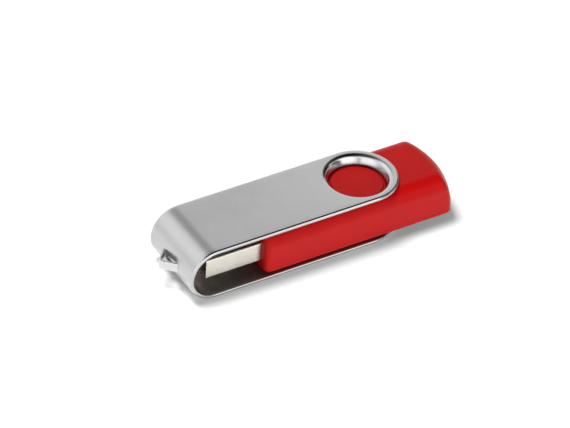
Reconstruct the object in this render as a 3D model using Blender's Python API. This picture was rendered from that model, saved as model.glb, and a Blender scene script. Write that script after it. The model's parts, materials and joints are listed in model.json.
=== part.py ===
"""USB flash drive with a folded steel cover that swivels right round its body.

Every piece is modelled around the swivel axis: X runs from the key loop (-X) to the
rounded rear end (+X), Y is across, and Z is the thickness. The empty "swivel_axis"
carries all of it and sets it down with its underside at Z = 0 and its length centred on X = 0.
"""

import math

import bmesh
import bpy
from mathutils import Vector

MM = 0.001

# Steel cover: one sheet folded into a U, with a drawn collar in each leg
COVER_WIDTH = 16.0 * MM
COVER_THICKNESS = 11.5 * MM
COVER_REACH = 41.8 * MM  # swivel axis to the outside of the bend
SHEET = 0.85 * MM
LEG_END_X = 0.15 * MM  # centre of the legs' round ends
COLLAR_HOLE_R = 5.5 * MM
COLLAR_DEPTH = 1.93 * MM  # leg's outer face to the collar's lower edge
COLLAR_ANGLE = math.radians(61)
COLLAR_FILLET = 0.8 * MM
COLLAR_WALL = 0.6 * MM

# Key loop: a strip lanced out of the bend
LOOP_REACH = 2.4 * MM
LOOP_Z = (-1.2 * MM, 0.9 * MM)
LOOP_SLOT_HALF_Y = 2.2 * MM
LOOP_STRIP = 0.7 * MM
LOOP_CREST_HALF_Y = (0.95 * MM, 0.7 * MM)  # outside and inside of the strip
LOOP_SHOULDER_HALF_Y = (1.65 * MM, 1.2 * MM)
LOOP_SHOULDER_DROP = 0.5 * MM  # crest to shoulder, along X
LOOP_FOOT_SPREAD = 0.35 * MM  # the feet start this far each side of the slot's ends
LOOP_FOOT_X = 0.1 * MM
LOOP_ROOT_Y = 0.7 * MM  # how far past the slot's ends the strip is rooted in the bend

# Plastic body: two half shells that meet on the mid plane
BODY_HALF_WIDTH = 8.0 * MM
BODY_HALF_THICKNESS = 4.7 * MM
BODY_FRONT_X = -25.0 * MM
BODY_REAR_X = 19.3 * MM
REAR_ARC_R = 16.6 * MM
REAR_CORNER_R = 1.2 * MM
FRONT_CORNER_R = 1.2 * MM
CROWN_FOOT_Z = -3.3 * MM  # above this the rear curves in towards the top
CROWN_REAR = 4.05 * MM  # how far in it is at the top
SIDE_EDGE_R = 3.0 * MM  # rounding from the long sides to the top
LOWER_EDGE_R = 1.35 * MM
LOWER_FRONT_EDGE = 1.9 * MM  # how far the same edge reaches back from the front face
WALL = 1.1 * MM
PARTING_GAP = 0.04 * MM
GROOVE_Z = 3.6 * MM
GROOVE_CLEARANCE = 0.27 * MM
BUTTON_R = 5.2 * MM
BUTTON_Z = 3.9 * MM
BUTTON_RIM = 0.2 * MM

# Room inside the body, and what stands in it
PIVOT_FLOOR = 2.5 * MM  # height of the cavity under the collar grooves
PIVOT_BLOCK_R = 7.4 * MM
CAVITY_HALF_WIDTH = 6.5 * MM
CAVITY_REAR_X = 17.1 * MM
POCKET_HALF_WIDTH = 5.9 * MM  # the deeper pockets before and behind the swivel
POCKET_BACK_X = 13.9 * MM
ROOT = 0.3 * MM  # how deep ribs and posts are rooted in the wall above them
RIB_X = (-11.5 * MM, 12.0 * MM)
RIB_OVERLAP = 0.2 * MM  # how far the ribs reach in over the circuit board's edge
CRADLE_X = (-20.5 * MM, -19.3 * MM)
PLUG_CLEARANCE = 0.12 * MM
ALIGNMENT_PINS = ((15.3 * MM, -3.4 * MM), (15.3 * MM, 3.4 * MM))
PIN_R = 0.55 * MM
PIN_SOCKET_R = 0.65 * MM
PIN_SOCKET_DEPTH = 2.2 * MM
PIN_REACH = 1.6 * MM  # past the parting plane
PIN_POST_R = 1.15 * MM
PIN_POST_Z = 0.3 * MM

# USB-A plug
PLUG_TIP_X = -37.3 * MM
PLUG_WIDTH = 12.0 * MM
PLUG_HEIGHT = 4.5 * MM
PLUG_SHEET = 0.3 * MM
PLUG_CORNER_R = 0.5 * MM
PLUG_BACK_X = -17.0 * MM
PLUG_TAB_BACK_X = -14.0 * MM
PLUG_TAB_Z = (-1.7 * MM, -0.2 * MM)
WINDOW_SIZE = (2.4 * MM, 2.2 * MM)
WINDOW_FRONT = 5.1 * MM  # behind the plug's tip
WINDOW_Y = (-2.9 * MM, 2.9 * MM)
TONGUE_FRONT_X = -36.2 * MM
TONGUE_BACK_X = -18.4 * MM
TONGUE_HEIGHT = 1.85 * MM
TONGUE_NOSE = 0.35 * MM
CONTACT_Y = (-3.5 * MM, -1.0 * MM, 1.0 * MM, 3.5 * MM)
CONTACT_WIDTH = 1.0 * MM
CONTACT_SHEET = 0.2 * MM
CONTACT_BUMP = 0.18 * MM
CONTACT_RAMP = 0.8 * MM
CONTACT_CROWN = 1.6 * MM
CONTACT_START = 1.2 * MM  # behind the tongue's front
CONTACT_LAP = 1.5 * MM  # over the circuit board

# Circuit board, and what is soldered to it
BOARD_TOP_Z = -0.3 * MM
BOARD_THICKNESS = 0.8 * MM
BOARD_X = (-16.7 * MM, 13.9 * MM)
BOARD_HALF_WIDTH = 6.3 * MM
BOARD_NECK_HALF_WIDTH = 5.4 * MM
BOARD_NECK_BACK_X = -13.6 * MM
SEAT = 0.05 * MM  # gap under a soldered piece
CHIP_STAND = 0.12 * MM
LEAD_SHEET = 0.15 * MM
LEAD_KNEE = (0.25 * MM, 0.4 * MM)  # where a lead turns down, and where it reaches the board
LEAD_ROOT = 0.3 * MM
LEAD_PITCH = 0.5 * MM
LEAD_FILL = 0.45  # a lead's width as a share of the pitch
MEMORY_X = 0.6 * MM
MEMORY_HALF = (9.2 * MM, 6.0 * MM)
MEMORY_LEADS = 24
MEMORY_LEAD_REACH = 10.0 * MM
CONTROLLER_X = -3.4 * MM
CONTROLLER_HALF = (3.5 * MM, 3.5 * MM)
CONTROLLER_LEADS = 12
CONTROLLER_LEAD_REACH = 4.5 * MM
CHIP_HEIGHT = 1.0 * MM
REGULATOR_X = -12.4 * MM
REGULATOR_HALF = (1.45 * MM, 0.65 * MM)
REGULATOR_HEIGHT = 0.9 * MM
REGULATOR_PITCH = 1.9 * MM
REGULATOR_LEAD_REACH = 1.25 * MM
CRYSTAL_X = 8.6 * MM
CRYSTAL_SIZE = (3.2 * MM, 5.0 * MM, 1.1 * MM)
LED_X = 12.4 * MM
LED_SIZE = (0.8 * MM, 1.6 * MM, 0.7 * MM)
PASSIVE_SIZE = (1.6 * MM, 0.8 * MM, 0.6 * MM)
PASSIVE_EDGE = 0.08 * MM
FRONT_ROW_X = -12.6 * MM
REAR_ROW_X = 12.4 * MM
RESISTORS = (
    (FRONT_ROW_X, -3.4 * MM),
    (FRONT_ROW_X, -1.2 * MM),
    (FRONT_ROW_X, 1.0 * MM),
    (REAR_ROW_X, -3.2 * MM),
)
UPPER_CAPACITORS = (
    (FRONT_ROW_X, 3.2 * MM),
    (-10.4 * MM, 5.0 * MM),
    (REAR_ROW_X, 2.8 * MM),
)
UNDER_CAPACITORS = (
    (-10.2 * MM, -4.6 * MM),
    (-10.2 * MM, 4.6 * MM),
    (5.4 * MM, 4.4 * MM),
)

SHARP_EDGE = math.radians(35)
CIRCLE_STEPS = 48

TOP_Z = COVER_THICKNESS / 2
LEG_UNDERSIDE = TOP_Z - SHEET
COLLAR_LOW_Z = TOP_Z - COLLAR_DEPTH
BEND_X = TOP_Z - COVER_REACH
BOARD_UNDERSIDE = BOARD_TOP_Z - BOARD_THICKNESS


# ---------------------------------------------------------------- shapes


def arc(centre, radius, start, end, steps):
    """Points on a circular arc, in degrees, both ends included."""
    turn = [math.radians(start + (end - start) * i / steps) for i in range(steps + 1)]
    return [(centre[0] + radius * math.cos(a), centre[1] + radius * math.sin(a)) for a in turn]


def finished(mesh):
    """The closed bmesh with its faces pointing out."""
    bmesh.ops.recalc_face_normals(mesh, faces=mesh.faces)
    return mesh


def loft(rings):
    """A solid skinned over equally long rings of points, with its two ends filled."""
    mesh = bmesh.new()
    loops = [[mesh.verts.new(point) for point in ring] for ring in rings]
    for low, high in zip(loops, loops[1:]):
        for i in range(len(low)):
            j = (i + 1) % len(low)
            mesh.faces.new((low[i], low[j], high[j], high[i]))
    mesh.faces.new(loops[0])
    mesh.faces.new(loops[-1])
    return finished(mesh)


def prism(outline, low, high, axis="Z"):
    """An outline pushed along an axis. Its two coordinates are the other axes, in X, Y, Z order."""
    place = {
        "X": lambda p, d: (d, p[0], p[1]),
        "Y": lambda p, d: (p[0], d, p[1]),
        "Z": lambda p, d: (p[0], p[1], d),
    }[axis]
    return loft([[place(p, d) for p in outline] for d in (low, high)])


def box(low, high):
    """A block between two opposite corners."""
    outline = [(low[0], low[1]), (high[0], low[1]), (high[0], high[1]), (low[0], high[1])]
    return prism(outline, low[2], high[2])


def disc(centre, radius, low, high, steps=CIRCLE_STEPS):
    """An upright cylinder."""
    return prism(arc(centre, radius, 0, 360 - 360 / steps, steps - 1), low, high)


def turned(profile):
    """A solid of revolution about Z. The profile's first and last points lie on the axis."""
    mesh = bmesh.new()
    low_pole = mesh.verts.new((0, 0, profile[0][1]))
    high_pole = mesh.verts.new((0, 0, profile[-1][1]))
    rings = []
    for radius, z in profile[1:-1]:
        ring = arc((0, 0), radius, 0, 360 - 360 / CIRCLE_STEPS, CIRCLE_STEPS - 1)
        rings.append([mesh.verts.new((x, y, z)) for x, y in ring])
    for i in range(CIRCLE_STEPS):
        j = (i + 1) % CIRCLE_STEPS
        mesh.faces.new((low_pole, rings[0][i], rings[0][j]))
        mesh.faces.new((high_pole, rings[-1][i], rings[-1][j]))
        for low, high in zip(rings, rings[1:]):
            mesh.faces.new((low[i], low[j], high[j], high[i]))
    return finished(mesh)


def mirrored_z(mesh):
    """The same solid on the other side of the mid plane."""
    bmesh.ops.scale(mesh, vec=Vector((1, 1, -1)), verts=mesh.verts)
    return finished(mesh)


def joined(meshes):
    """Several bmeshes gathered into one, as a single tool for a Boolean."""
    whole = bmesh.new()
    for mesh in meshes:
        part = bpy.data.meshes.new("part")
        mesh.to_mesh(part)
        mesh.free()
        whole.from_mesh(part)
        bpy.data.meshes.remove(part)
    return whole


# ---------------------------------------------------------------- objects


def material(name, colour, roughness, metallic=0.0):
    """A Principled material."""
    made = bpy.data.materials.new(name)
    made.use_nodes = True
    shader = made.node_tree.nodes["Principled BSDF"]
    shader.inputs["Base Color"].default_value = (*colour, 1.0)
    shader.inputs["Roughness"].default_value = roughness
    shader.inputs["Metallic"].default_value = metallic
    return made


def piece(name, mesh, finish):
    """A sub-part on the swivel axis, shaded smooth with its real edges kept sharp."""
    data = bpy.data.meshes.new(name)
    mesh.to_mesh(data)
    mesh.free()
    data.materials.append(finish)
    data.shade_smooth()
    data.set_sharp_from_angle(angle=SHARP_EDGE)
    made = bpy.data.objects.new(name, data)
    bpy.context.scene.collection.objects.link(made)
    made.parent = bpy.data.objects["swivel_axis"]
    return made


def combine(target, mesh, operation, label):
    """Joins a tool to a sub-part, cuts it out or keeps their overlap, with an exact Boolean."""
    data = bpy.data.meshes.new(f"{target.name}_{label}")
    mesh.to_mesh(data)
    mesh.free()
    tool = bpy.data.objects.new(data.name, data)
    bpy.context.scene.collection.objects.link(tool)
    tool.parent = target
    tool.hide_render = True
    tool.display_type = "WIRE"
    change = target.modifiers.new(label, "BOOLEAN")
    change.operation = operation
    change.object = tool
    change.solver = "EXACT"


# ---------------------------------------------------------------- cover


def collar_flare():
    """The outer face of the drawn collar, from its lower edge up to the leg's face, as (r, z)."""
    slope = math.tan(COLLAR_ANGLE)
    corner_r = COLLAR_HOLE_R + COLLAR_DEPTH / slope
    tangent = COLLAR_FILLET * math.tan(COLLAR_ANGLE / 2)
    centre = (corner_r + tangent, TOP_Z - COLLAR_FILLET)
    bend = arc(centre, COLLAR_FILLET, 90 + math.degrees(COLLAR_ANGLE), 90, 5)
    return [(COLLAR_HOLE_R, COLLAR_LOW_Z)] + bend


def collar_underside_r(z):
    """Radius of the collar's hidden side at a height."""
    wall = COLLAR_WALL / math.sin(COLLAR_ANGLE)
    return COLLAR_HOLE_R + wall + (z - COLLAR_LOW_Z) / math.tan(COLLAR_ANGLE)


def make_cover(steel):
    """The folded sheet, its round leg ends, the two collars and the key loop."""
    past_end_x = COVER_WIDTH
    outer = arc((BEND_X, 0), TOP_Z, 90, 270, 24)
    inner = arc((BEND_X, 0), LEG_UNDERSIDE, 270, 90, 24)
    section = [(past_end_x, TOP_Z)] + outer + [(past_end_x, -TOP_Z), (past_end_x, -LEG_UNDERSIDE)]
    section += inner + [(past_end_x, LEG_UNDERSIDE)]
    cover = piece("swivel_cover", prism(section, -COVER_WIDTH / 2, COVER_WIDTH / 2, "Y"), steel)

    side = COVER_WIDTH / 2
    wide = side + SHEET
    past_bend_x = -COVER_REACH - COVER_WIDTH
    plan = arc((LEG_END_X, 0), side, -90, 90, CIRCLE_STEPS // 2)
    plan += [(-side, side), (-side, wide), (past_bend_x, wide)]
    plan += [(past_bend_x, -wide), (-side, -wide), (-side, -side)]
    combine(cover, prism(plan, -COVER_WIDTH, COVER_WIDTH), "INTERSECT", "leg_ends")

    buried_z = TOP_Z - SHEET / 2
    block = [(0, COLLAR_LOW_Z), (collar_underside_r(COLLAR_LOW_Z), COLLAR_LOW_Z)]
    block += [(collar_underside_r(buried_z), buried_z), (0, buried_z)]
    above, below = TOP_Z + SHEET, COLLAR_LOW_Z - SHEET
    rim_r = collar_flare()[-1][0]
    flare = [(0, below), (COLLAR_HOLE_R, below)] + collar_flare()[:-1]
    flare += [(rim_r, TOP_Z + 0.02 * MM), (rim_r, above), (0, above)]
    for label, flip in (("upper", False), ("lower", True)):
        solid, tool = turned(block), turned(flare)
        if flip:
            solid, tool = mirrored_z(solid), mirrored_z(tool)
        combine(cover, solid, "UNION", f"{label}_collar")
        combine(cover, tool, "DIFFERENCE", f"{label}_flare")

    slot_low = (-COVER_REACH - SHEET, -LOOP_SLOT_HALF_Y, LOOP_Z[0])
    slot_high = (-COVER_REACH + 2 * SHEET, LOOP_SLOT_HALF_Y, LOOP_Z[1])
    combine(cover, box(slot_low, slot_high), "DIFFERENCE", "loop_slot")
    combine(cover, prism(loop_plan(), *LOOP_Z), "UNION", "key_loop")


def loop_plan():
    """Outline of the key loop seen from above: a strip that bows out of the bend and back."""
    crest_x = -COVER_REACH - LOOP_REACH
    inner_crest_x = crest_x + LOOP_STRIP
    root_x = -COVER_REACH + SHEET / 4
    deep_x = root_x + SHEET / 2
    slot_y = LOOP_SLOT_HALF_Y
    outer = [(root_x, slot_y + LOOP_ROOT_Y), (-COVER_REACH - LOOP_FOOT_X, slot_y + LOOP_FOOT_SPREAD)]
    outer += [(crest_x + LOOP_SHOULDER_DROP, LOOP_SHOULDER_HALF_Y[0]), (crest_x, LOOP_CREST_HALF_Y[0])]
    inner = [(inner_crest_x, LOOP_CREST_HALF_Y[1])]
    inner += [(inner_crest_x + LOOP_SHOULDER_DROP, LOOP_SHOULDER_HALF_Y[1])]
    inner += [(-COVER_REACH + LOOP_FOOT_X, slot_y - LOOP_FOOT_SPREAD)]
    inner += [(deep_x, slot_y + LOOP_FOOT_X), (deep_x, slot_y + LOOP_ROOT_Y)]
    ring = outer + [(x, -y) for x, y in reversed(outer)]
    return ring + [(x, -y) for x, y in reversed(inner)] + inner


# ---------------------------------------------------------------- body


def body_outline(side_inset, rear_inset, front_inset):
    """Plan of the body, drawn in by insets: straight sides, flat front, arched rear."""
    side = BODY_HALF_WIDTH - side_inset
    arc_centre_x = BODY_REAR_X - rear_inset - REAR_ARC_R
    corner_y = side - REAR_CORNER_R
    reach = REAR_ARC_R - REAR_CORNER_R
    corner_x = arc_centre_x + math.sqrt(reach**2 - corner_y**2)
    lean = math.degrees(math.asin(corner_y / reach))
    front = (BODY_FRONT_X + front_inset + FRONT_CORNER_R, side - FRONT_CORNER_R)
    half = arc((arc_centre_x, 0), REAR_ARC_R, 0, lean, 6)[:-1]
    half += arc((corner_x, corner_y), REAR_CORNER_R, lean, 90, 4)
    half += arc(front, FRONT_CORNER_R, 90, 180, 3)
    return half + [(x, -y) for x, y in reversed(half[1:])]


def crowned_ring(z):
    """The body's outline at a height above its lower edge, as 3D points."""
    climb = max(z - CROWN_FOOT_Z, 0.0) / (BODY_HALF_THICKNESS - CROWN_FOOT_Z)
    rear_inset = CROWN_REAR * (1 - math.sqrt(max(1 - climb**2, 0.0)))
    rise = max(z - BODY_HALF_THICKNESS + SIDE_EDGE_R, 0.0)
    side_inset = SIDE_EDGE_R - math.sqrt(max(SIDE_EDGE_R**2 - rise**2, 0.0))
    return [(x, y, z) for x, y in body_outline(side_inset, rear_inset, 0.0)]


def upper_blank():
    """The upper half of the body, solid."""
    height = BODY_HALF_THICKNESS - CROWN_FOOT_Z
    start = math.degrees(math.asin((PARTING_GAP / 2 - CROWN_FOOT_Z) / height))
    return loft([crowned_ring(z) for _, z in arc((0, CROWN_FOOT_Z), height, start, 90, 8)])


def lower_blank():
    """The lower half of the body, solid, turned over: its rounded lower edge is on top."""
    depths = [PARTING_GAP / 2, -CROWN_FOOT_Z / 2, -CROWN_FOOT_Z]
    skin = [[(x, y, depth) for x, y, _ in crowned_ring(-depth)] for depth in depths]
    shoulder = BODY_HALF_THICKNESS - LOWER_EDGE_R
    for x, z in arc((0, 0), LOWER_EDGE_R, 0, 90, 6):
        inset = LOWER_EDGE_R - x
        front_inset = inset * LOWER_FRONT_EDGE / LOWER_EDGE_R
        skin.append([(x, y, shoulder + z) for x, y in body_outline(inset, inset, front_inset)])
    return loft(skin)


def collar_groove():
    """The ring-shaped pocket that a collar turns in, around the round button."""
    low_r = collar_underside_r(GROOVE_Z) + GROOVE_CLEARANCE
    high_z = BODY_HALF_THICKNESS + SHEET
    high_r = collar_underside_r(high_z) + GROOVE_CLEARANCE
    return turned([(0, GROOVE_Z), (low_r, GROOVE_Z), (high_r, high_z), (0, high_z)])


def round_button():
    """The button that shows through the cover's hole, with a softened rim."""
    root_z = GROOVE_Z - WALL / 2
    profile = [(0, root_z), (BUTTON_R, root_z), (BUTTON_R, BUTTON_Z - BUTTON_RIM)]
    profile += [(BUTTON_R - BUTTON_RIM, BUTTON_Z), (0, BUTTON_Z)]
    return turned(profile)


def cavity():
    """The room inside a half shell, lower round the swivel."""
    return [
        prism(cavity_outline(), -WALL, PIVOT_FLOOR),
        deep_pocket(BODY_FRONT_X + WALL, -PIVOT_BLOCK_R),
        deep_pocket(PIVOT_BLOCK_R, POCKET_BACK_X),
    ]


def cavity_outline():
    """Plan of the cavity, which leaves a wall under the crowned sides and rear."""
    return body_outline(BODY_HALF_WIDTH - CAVITY_HALF_WIDTH, BODY_REAR_X - CAVITY_REAR_X, WALL)


def deep_pocket(low_x, high_x):
    """A pocket up to the full inside height, between two stations along the body."""
    low = (low_x, -POCKET_HALF_WIDTH, PIVOT_FLOOR - WALL / 2)
    return box(low, (high_x, POCKET_HALF_WIDTH, BODY_HALF_THICKNESS - WALL))


def support_ribs(board_side_z):
    """Four ribs on the side walls that stop just short of the circuit board."""
    inner, outer = BOARD_HALF_WIDTH - RIB_OVERLAP, CAVITY_HALF_WIDTH + ROOT
    ribs = []
    for x in RIB_X:
        for side in (-1, 1):
            low_y, high_y = sorted((side * inner, side * outer))
            ribs.append(box((x, low_y, board_side_z), (x + WALL, high_y, PIVOT_FLOOR + ROOT)))
    return ribs


def plug_cradle():
    """A cross rib that holds the plug's inner end."""
    half_width = POCKET_HALF_WIDTH + ROOT
    low = (CRADLE_X[0], -half_width, PLUG_HEIGHT / 2 + PLUG_CLEARANCE)
    return box(low, (CRADLE_X[1], half_width, BODY_HALF_THICKNESS - WALL + ROOT))


def plug_mouth():
    """The rectangular way through the front wall for the plug."""
    side, height = PLUG_WIDTH / 2 + PLUG_CLEARANCE, PLUG_HEIGHT / 2 + PLUG_CLEARANCE
    front, back = BODY_FRONT_X - WALL, BODY_FRONT_X + 2 * WALL
    return box((front, -side, -height), (back, side, height))


def pin_discs(radius, low, high):
    """An upright cylinder at each alignment pin."""
    return joined([disc(spot, radius, low, high, 16) for spot in ALIGNMENT_PINS])


def make_shell(name, plastic, flip):
    """One half of the body. The lower one is turned over, and has pins for the upper's sockets."""
    mirror = mirrored_z if flip else (lambda mesh: mesh)
    shell = piece(name, mirror(lower_blank() if flip else upper_blank()), plastic)
    for number, room in enumerate(cavity()):
        combine(shell, mirror(room), "DIFFERENCE", f"cavity_{number + 1}")
    combine(shell, mirror(collar_groove()), "DIFFERENCE", "groove")
    combine(shell, mirror(round_button()), "UNION", "button")
    board_side_z = SEAT - BOARD_UNDERSIDE if flip else PARTING_GAP / 2
    combine(shell, mirror(joined(support_ribs(board_side_z))), "UNION", "ribs")
    combine(shell, mirror(plug_cradle()), "UNION", "plug_cradle")
    combine(shell, mirror(plug_mouth()), "DIFFERENCE", "plug_mouth")
    posts = pin_discs(PIN_POST_R, PIN_POST_Z, PIVOT_FLOOR + ROOT)
    combine(shell, mirror(posts), "UNION", "posts")
    if flip:
        pins = pin_discs(PIN_R, -PIN_REACH, PIN_POST_Z + ROOT)
        combine(shell, mirror(pins), "UNION", "pins")
    else:
        sockets = pin_discs(PIN_SOCKET_R, 0.0, PIN_SOCKET_DEPTH)
        combine(shell, sockets, "DIFFERENCE", "sockets")


# ---------------------------------------------------------------- plug


def rounded_rectangle(half_width, half_height, radius):
    """Outline of a rectangle with round corners, centred on the axis."""
    x, y = half_width - radius, half_height - radius
    corners = (((x, y), 0), ((-x, y), 90), ((-x, -y), 180), ((x, -y), 270))
    return [point for centre, start in corners for point in arc(centre, radius, start, start + 90, 3)]


def make_plug_shell(nickel):
    """The folded metal sleeve, with its four latch windows and two solder tabs."""
    half_width, half_height = PLUG_WIDTH / 2, PLUG_HEIGHT / 2
    outside = rounded_rectangle(half_width, half_height, PLUG_CORNER_R)
    room = (half_width - PLUG_SHEET, half_height - PLUG_SHEET)
    inside = rounded_rectangle(*room, PLUG_CORNER_R - PLUG_SHEET)
    shell = piece("plug_shell", prism(outside, PLUG_TIP_X, PLUG_TAB_BACK_X, "X"), nickel)
    bore = prism(inside, PLUG_TIP_X - MM, PLUG_TAB_BACK_X + MM, "X")
    combine(shell, bore, "DIFFERENCE", "bore")

    length, width = WINDOW_SIZE
    low_x = PLUG_TIP_X + WINDOW_FRONT
    windows = []
    for y in WINDOW_Y:
        for z in (-half_height, half_height):
            low = (low_x, y - width / 2, z - MM)
            windows.append(box(low, (low_x + length, y + width / 2, z + MM)))
    combine(shell, joined(windows), "DIFFERENCE", "windows")

    wide, past_x = PLUG_WIDTH, PLUG_TAB_BACK_X + MM
    above = box((PLUG_BACK_X, -wide, PLUG_TAB_Z[1]), (past_x, wide, PLUG_HEIGHT))
    below = box((PLUG_BACK_X, -wide, -PLUG_HEIGHT), (past_x, wide, PLUG_TAB_Z[0]))
    combine(shell, joined([above, below]), "DIFFERENCE", "tab_relief")


def make_tongue(plastic):
    """The insulator that carries the contacts, in the upper half of the sleeve."""
    half_width = PLUG_WIDTH / 2 - PLUG_SHEET - SEAT
    front, nose_x = TONGUE_FRONT_X, TONGUE_FRONT_X + TONGUE_NOSE
    side = [(front, TONGUE_NOSE), (nose_x, 0.0), (TONGUE_BACK_X, 0.0)]
    side += [(TONGUE_BACK_X, TONGUE_HEIGHT), (nose_x, TONGUE_HEIGHT)]
    side += [(front, TONGUE_HEIGHT - TONGUE_NOSE)]
    piece("plug_tongue", prism(side, -half_width, half_width, "Y"), plastic)


def make_contacts(gold):
    """Four strips under the tongue, whose tails lie on the circuit board."""
    high = -SEAT
    low = high - CONTACT_SHEET
    front = TONGUE_FRONT_X + CONTACT_START
    crown = front + CONTACT_RAMP
    back = BOARD_X[0] + CONTACT_LAP
    side = [(front, low), (crown, low - CONTACT_BUMP)]
    side += [(crown + CONTACT_CROWN, low - CONTACT_BUMP)]
    side += [(crown + CONTACT_CROWN + CONTACT_RAMP, low), (back, low), (back, high), (front, high)]
    for number, y in enumerate(CONTACT_Y):
        strip = prism(side, y - CONTACT_WIDTH / 2, y + CONTACT_WIDTH / 2, "Y")
        piece(f"plug_contact_{number + 1}", strip, gold)


# ---------------------------------------------------------------- electronics


def make_board(laminate):
    """The circuit board, narrower where it passes between the plug's solder tabs."""
    half = [(BOARD_X[0], BOARD_NECK_HALF_WIDTH), (BOARD_NECK_BACK_X, BOARD_NECK_HALF_WIDTH)]
    half += [(BOARD_NECK_BACK_X, BOARD_HALF_WIDTH), (BOARD_X[1], BOARD_HALF_WIDTH)]
    outline = half + [(x, -y) for x, y in reversed(half)]
    piece("circuit_board", prism(outline, BOARD_UNDERSIDE, BOARD_TOP_Z), laminate)


def gull_leads(count, pitch, body_half, reach, shoulder_z):
    """A row of bent leads on the +X side of a chip: out of the body, down and along the board."""
    root = body_half - LEAD_ROOT
    knee, heel = (body_half + distance for distance in LEAD_KNEE)
    foot = SEAT
    side = [(root, shoulder_z), (knee, shoulder_z), (heel, foot), (reach, foot)]
    side += [(reach, foot + LEAD_SHEET), (heel + LEAD_SHEET, foot + LEAD_SHEET)]
    side += [(knee + LEAD_SHEET, shoulder_z + LEAD_SHEET), (root, shoulder_z + LEAD_SHEET)]
    width = pitch * LEAD_FILL
    rows = []
    for i in range(count):
        y = (i - (count - 1) / 2) * pitch
        rows.append(prism(side, y - width / 2, y + width / 2, "Y"))
    return rows


def turn_quarter(mesh, quarters):
    """The mesh turned about Z by quarter turns."""
    for vert in mesh.verts:
        for _ in range(quarters):
            vert.co = Vector((-vert.co.y, vert.co.x, vert.co.z))
    return mesh


def make_chip(name, centre_x, half_size, height, rows, under, epoxy):
    """A moulded chip. rows holds (quarter turn, lead count, pitch, reach) for each side with leads."""
    low = (-half_size[0], -half_size[1], CHIP_STAND)
    body = box(low, (half_size[0], half_size[1], CHIP_STAND + height))
    leads = []
    for quarters, count, pitch, reach in rows:
        body_half = half_size[quarters % 2]
        for lead in gull_leads(count, pitch, body_half, reach, CHIP_STAND + height / 2):
            leads.append(turn_quarter(lead, quarters))
    tool = joined(leads)
    board_z = BOARD_UNDERSIDE if under else BOARD_TOP_Z
    for mesh in (body, tool):
        if under:
            mirrored_z(mesh)
        bmesh.ops.translate(mesh, vec=Vector((centre_x, 0.0, board_z)), verts=mesh.verts)
    chip = piece(name, body, epoxy)
    combine(chip, tool, "UNION", "leads")


def make_block(name, centre, size, under, finish):
    """A small soldered component: a block on the board's face, or under it."""
    half_x, half_y = size[0] / 2, size[1] / 2
    low_z = BOARD_UNDERSIDE - SEAT - size[2] if under else BOARD_TOP_Z + SEAT
    low = (centre[0] - half_x, centre[1] - half_y, low_z)
    high = (centre[0] + half_x, centre[1] + half_y, low_z + size[2])
    block = piece(name, box(low, high), finish)
    soften = block.modifiers.new("soften", "BEVEL")
    soften.width = PASSIVE_EDGE
    soften.segments = 1


def make_chips():
    """The memory on top of the board, and the controller and voltage regulator under it."""
    epoxy = material("chip_epoxy", (0.02, 0.02, 0.022), 0.55)
    rows = [(side, MEMORY_LEADS, LEAD_PITCH, MEMORY_LEAD_REACH) for side in (0, 2)]
    make_chip("memory_chip", MEMORY_X, MEMORY_HALF, CHIP_HEIGHT, rows, False, epoxy)
    rows = [(side, CONTROLLER_LEADS, LEAD_PITCH, CONTROLLER_LEAD_REACH) for side in range(4)]
    make_chip("controller_chip", CONTROLLER_X, CONTROLLER_HALF, CHIP_HEIGHT, rows, True, epoxy)
    rows = [(side, count, REGULATOR_PITCH, REGULATOR_LEAD_REACH) for side, count in ((1, 2), (3, 1))]
    make_chip("voltage_regulator", REGULATOR_X, REGULATOR_HALF, REGULATOR_HEIGHT, rows, True, epoxy)


def make_small_parts():
    """The crystal, the activity light, the resistors and the capacitors."""
    can = material("crystal_can", (0.7, 0.68, 0.62), 0.3, 1.0)
    make_block("crystal", (CRYSTAL_X, 0.0), CRYSTAL_SIZE, True, can)
    lens = material("led_lens", (0.75, 0.72, 0.6), 0.3)
    make_block("activity_led", (LED_X, 0.0), LED_SIZE, False, lens)

    film = material("resistor_film", (0.03, 0.03, 0.035), 0.5)
    ceramic = material("capacitor_ceramic", (0.36, 0.22, 0.12), 0.6)
    for number, spot in enumerate(RESISTORS):
        make_block(f"resistor_{number + 1}", spot, PASSIVE_SIZE, False, film)
    for number, spot in enumerate(UPPER_CAPACITORS + UNDER_CAPACITORS):
        under = spot in UNDER_CAPACITORS
        make_block(f"capacitor_{number + 1}", spot, PASSIVE_SIZE, under, ceramic)


# ---------------------------------------------------------------- assembly


def main():
    """Clears the scene and builds the drive around its swivel axis."""
    for old in list(bpy.data.objects):
        bpy.data.objects.remove(old)
    axis = bpy.data.objects.new("swivel_axis", None)
    axis.location = ((COVER_REACH + LOOP_REACH - BODY_REAR_X) / 2, 0.0, TOP_Z)
    bpy.context.scene.collection.objects.link(axis)

    make_cover(material("satin_steel", (0.62, 0.62, 0.63), 0.35, 1.0))
    red = material("red_plastic", (0.52, 0.012, 0.014), 0.32)
    make_shell("upper_shell", red, flip=False)
    make_shell("lower_shell", red, flip=True)
    make_plug_shell(material("plug_nickel", (0.72, 0.70, 0.66), 0.3, 1.0))
    make_tongue(material("tongue_plastic", (0.85, 0.84, 0.8), 0.45))
    make_contacts(material("contact_gold", (0.8, 0.6, 0.25), 0.25, 1.0))
    make_board(material("board_laminate", (0.02, 0.16, 0.06), 0.4))
    make_chips()
    make_small_parts()


main()
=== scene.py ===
"""Looks of the USB flash drive with a swivel cover: satin steel, red plastic and a nickel plug.

Lengths below are in millimetres unless a comment says otherwise, and are measured from the swivel
axis: X towards the rounded rear end, Y across, Z through the thickness.
"""

import json
import math

import bmesh
import bpy
from mathutils import Matrix, Vector


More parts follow.
